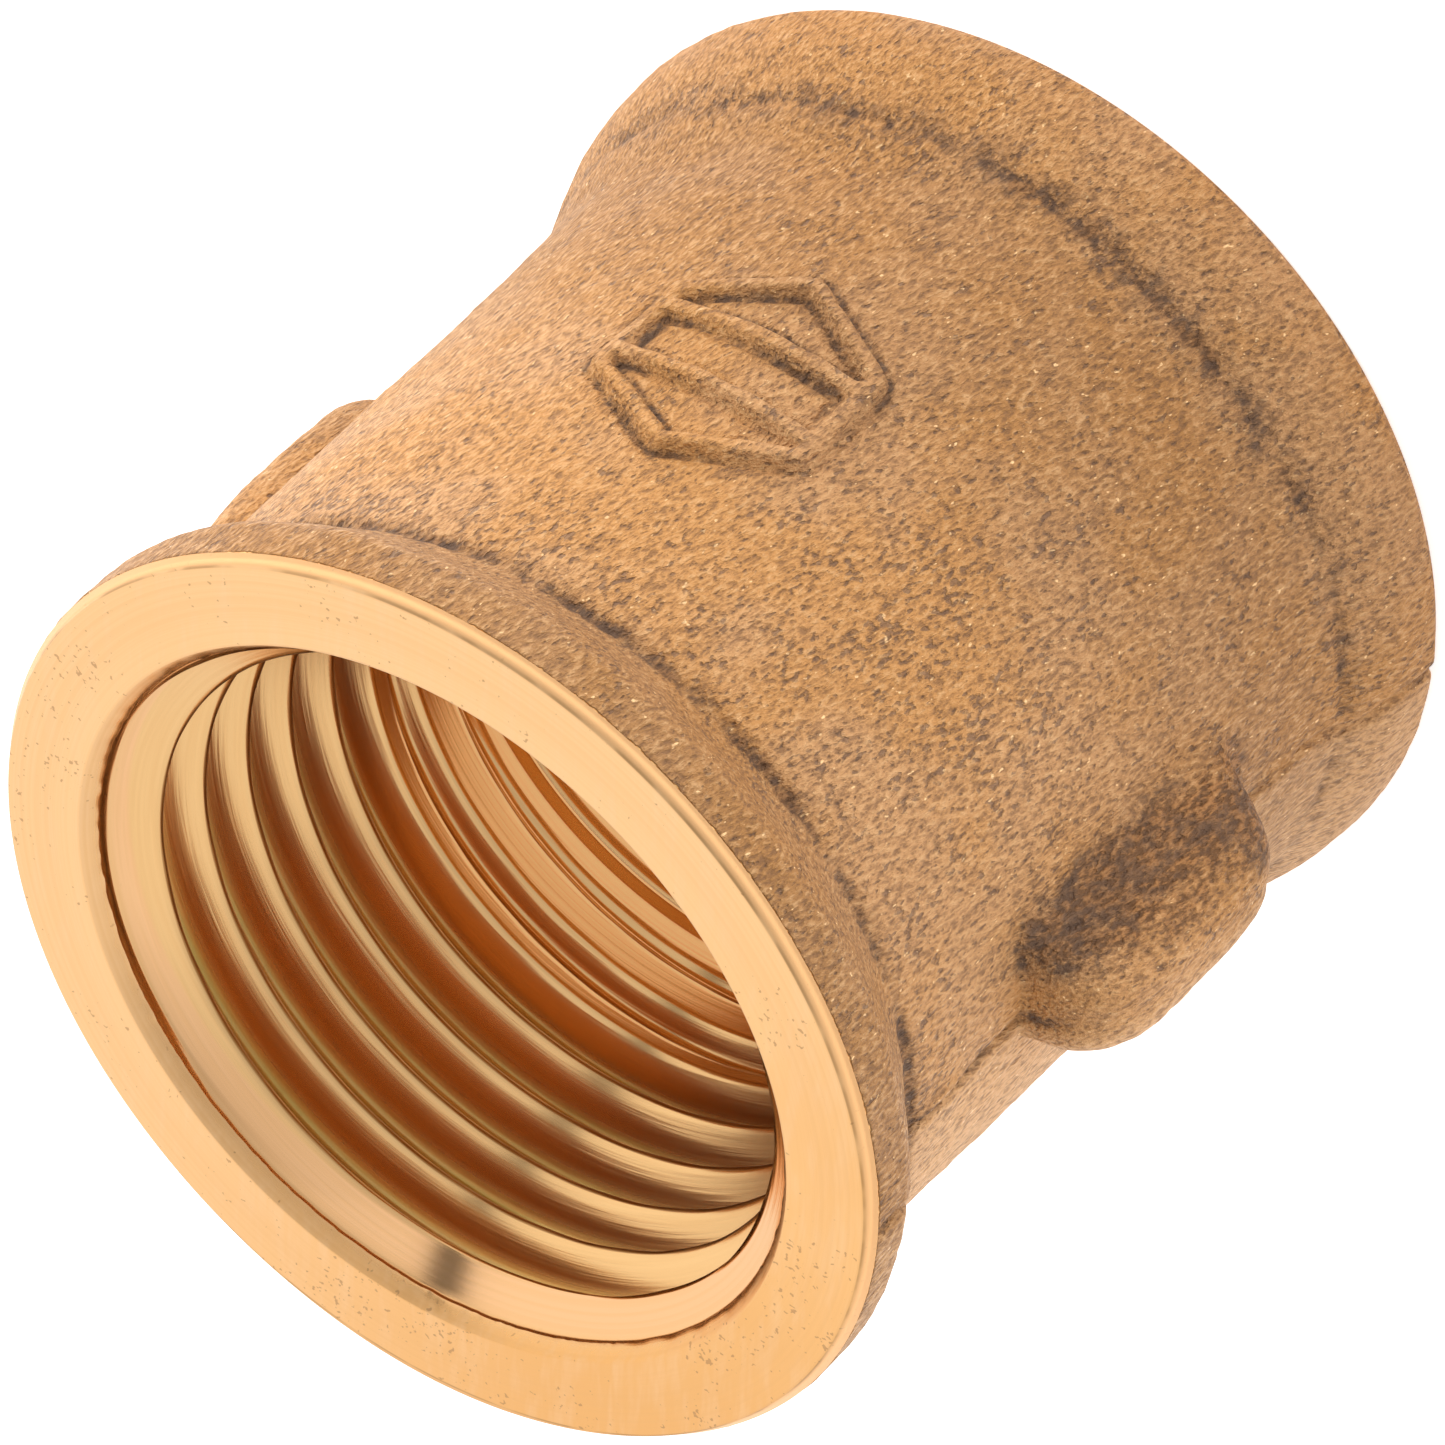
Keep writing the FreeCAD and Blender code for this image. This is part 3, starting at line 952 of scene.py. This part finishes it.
def make_end(name, rim_r, thread_depth, stop_depth, upper, recipe, start_turn):
    section = end_section(rim_r, thread_depth, stop_depth, upper)
    if upper:
        section = section[::-1]
    radius, depth, threaded = (column[:, None] for column in np.array(section).T)
    height = LENGTH - depth if upper else depth
    a = BORE_ANGLES[None, :]
    # torn burr where the mouth's chamfer meets the countersink
    burr = bell(depth, BURR_DEPTH + 0.01 * MM, 0.05 * MM) * (radius < MOUTH_R)
    torn = ring_noise(a, 0 * depth, [(90, 0.0, 0.7), (200, 0.0, 0.6)], 31 if upper else 37)
    r = radius - 0.028 * MM * burr * np.clip(torn, -0.6, 1.2)
    if upper:
        on_rim = (radius > UPPER_RIM_R - 0.9 * MM) * (depth < 0.6 * MM)
        r = r + rim_bulge(a) * on_rim
    lead = np.clip((depth - thread_depth + TAP_LEAD) / TAP_LEAD, 0, 1) * (ROOT_R - CREST_R)
    extra = {"threaded": threaded + 0 * a, "lead": lead + 0 * a}
    piece = turned(name, BORE_ANGLES, r, height, extra)
    apply_recipe(piece, recipe, {"Start turn": start_turn})
    return piece


# --------------------------------------------------------------- assembly
cut_thread = thread_recipe(machined_finish())
sand_grain = sand_recipe(cast_finish())

skin = make_skin()
apply_recipe(skin, sand_grain, {"Seed": 3.0})
upper_end = make_end(
    "upper_end", UPPER_RIM_R, UPPER_THREAD, MEETING_DEPTH, True, cut_thread, 0.22
)
lower_end = make_end(
    "lower_end", LOWER_RIM_R, LOWER_THREAD, LENGTH - MEETING_DEPTH, False, cut_thread, 0.0
)

for piece, material_slot in (
    (skin, "cast_gunmetal"),
    (upper_end, "machined_gunmetal"),
    (lower_end, "machined_gunmetal"),
):
    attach(piece, "root")
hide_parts("lug_left", "lug_right", "casting_mark", "upper_collar", "lower_collar")
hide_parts("body")


# ------------------------------------------------------------------ stage
VIEW_AZIMUTH = 30.0      # the camera looks from -Y towards +Y, turned to +X
VIEW_ELEVATION = 37.67
VIEW_ROLL = 134.18
VIEW_DISTANCE = 0.24873
VIEW_LENS = 243.80
CENTRE = Vector((0, 0, MIDDLE))

KEY_WAY = (0.80, -0.10, 0.55)      # the surroundings are brightest this way
KEY_PLACE = CENTRE + Vector((0.80, -0.50, 0.40)) * 0.30
KEY_SIZE = 0.22
KEY_POWER = 0.72
SKY_DARK = 0.62
SKY_LOW = 0.94
SKY_HIGH = 1.15
SKY_TINT = (1.0, 0.985, 0.965, 1.0)

FLOOR_HALF = 1.5
STRIP_REACH = 0.5
STRIP_ACROSS = 0.395     # how far towards +X the strip stands, as a share of its reach
STRIP_HALF = 0.026


def make_floor():
    half = FLOOR_HALF
    mesh = bpy.data.meshes.new("floor")
    corners = [(-half, -half, 0), (half, -half, 0), (half, half, 0), (-half, half, 0)]
    mesh.from_pydata(corners, [], [(0, 1, 2, 3)])
    mesh.materials.append(floor_finish())
    placed("floor", mesh)


def make_key_light():
    """One soft lamp, which isn't seen in reflections."""
    light = bpy.data.lights.new("key", "AREA")
    light.shape = "DISK"
    light.size = KEY_SIZE
    light.energy = KEY_POWER
    lamp = placed("key", light)
    lamp.visible_glossy = False
    lamp.location = KEY_PLACE
    lamp.rotation_euler = (CENTRE - KEY_PLACE).to_track_quat("-Z", "Y").to_euler()


def make_dark_strip():
    """A dark strip arched over the part, seen only as a reflection in the bore."""
    verts = []
    for lean in range(-2, 71, 6):
        t = math.radians(lean)
        rest = math.sqrt(1 - STRIP_ACROSS**2)
        way = Vector((STRIP_ACROSS, -rest * math.sin(t), rest * math.cos(t)))
        x, y, z = way * STRIP_REACH
        verts += [(x - STRIP_HALF, y, z), (x + STRIP_HALF, y, z)]
    faces = [(i, i + 1, i + 3, i + 2) for i in range(0, len(verts) - 2, 2)]
    mesh = bpy.data.meshes.new("dark_strip")
    mesh.from_pydata(verts, [], faces)
    mesh.materials.append(strip_finish())
    strip = placed("dark_strip", mesh)
    strip.visible_camera = False
    strip.visible_diffuse = False
    strip.visible_shadow = False


def view_axes():
    """Forward, right and up of the camera."""
    turn, tilt, roll = (math.radians(v) for v in (VIEW_AZIMUTH, VIEW_ELEVATION, VIEW_ROLL))
    forward = Vector(
        (math.sin(turn) * math.cos(tilt), math.cos(turn) * math.cos(tilt), -math.sin(tilt))
    )
    level = forward.cross(Vector((0, 0, 1))).normalized()
    upright = level.cross(forward)
    up = math.cos(roll) * upright + math.sin(roll) * level
    right = math.cos(roll) * level - math.sin(roll) * upright
    return forward, right, up


def make_camera():
    forward, right, up = view_axes()
    camera = bpy.data.cameras.new("camera")
    camera.lens = VIEW_LENS
    camera.sensor_width = 36.0
    camera.clip_start = 0.01
    holder = placed("camera", camera)
    facing = Matrix((right, up, -forward)).transposed().to_4x4()
    holder.matrix_world = Matrix.Translation(CENTRE - forward * VIEW_DISTANCE) @ facing
    bpy.context.scene.camera = holder


def make_world():
    """Soft white surroundings, dim where the camera stands."""
    world = bpy.data.worlds.new("studio")
    bpy.context.scene.world = world
    world.use_nodes = True
    w = TreeWriter(world.node_tree)
    forward = view_axes()[0]
    way = w.node("ShaderNodeTexCoord").outputs["Generated"]
    camera_side = w.window(w.along(way, -forward), 0.30, 0.95, 1.0, SKY_DARK)
    key_side = w.window(w.along(way, KEY_WAY), -0.6, 1.0, SKY_LOW, SKY_HIGH)
    background = w.tree.nodes["Background"]
    w.feed(background.inputs["Strength"], w.times(camera_side, key_side))
    w.feed(background.inputs["Color"], SKY_TINT)


make_floor()
make_dark_strip()
make_camera()
make_world()
make_key_light()
bpy.context.scene.view_settings.view_transform = "Standard"
